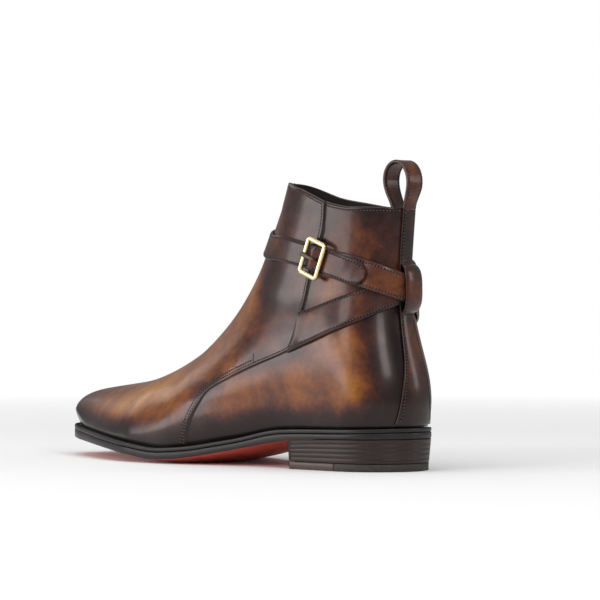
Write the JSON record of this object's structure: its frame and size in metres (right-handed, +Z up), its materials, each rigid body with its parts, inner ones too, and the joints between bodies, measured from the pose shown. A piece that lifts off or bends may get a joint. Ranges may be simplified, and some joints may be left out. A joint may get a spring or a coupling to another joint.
{
  "type": "jodhpur boot",
  "caption": "Left leather ankle boot with a plain vamp and flap over a quarter, one strap wrapped round the ankle to a buckle, back keeper and pull loop, on a leather sole with a stacked heel.",
  "frame": {"origin": "middle of the heel's flat bottom face, on the floor", "axes": "+X from heel to toe, +Y to the outer side of this left boot, +Z up"},
  "size_m": [0.299, 0.1041, 0.1791],
  "materials": {
    "upper_leather": "polished patina calf, golden brown to near black",
    "trim_leather": "polished dark brown calf",
    "sole_leather": "red painted underside, dark burnished edge",
    "welt_leather": "dark waxed edge with fine ribs",
    "insole_leather": "matt brown",
    "heel_leather": "dark stacked leather, satin",
    "heel_rubber": "matt black rubber",
    "heel_tip_leather": "brown leather, satin",
    "buckle_metal": "pale satin gold"
  },
  "bodies": {
    "root": {"upper": "upper_leather", "backstay": "trim_leather", "keeper": "trim_leather", "pull_loop": "trim_leather", "wrap_strap": "trim_leather", "buckle_strap": "trim_leather", "outsole": "sole_leather", "welt": "welt_leather", "insole": "insole_leather", "heel_stack": "heel_leather", "top_lift": "heel_rubber", "top_lift_front": "heel_tip_leather", "buckle": "buckle_metal", "prong": "buckle_metal"}
  },
  "joints": []
}
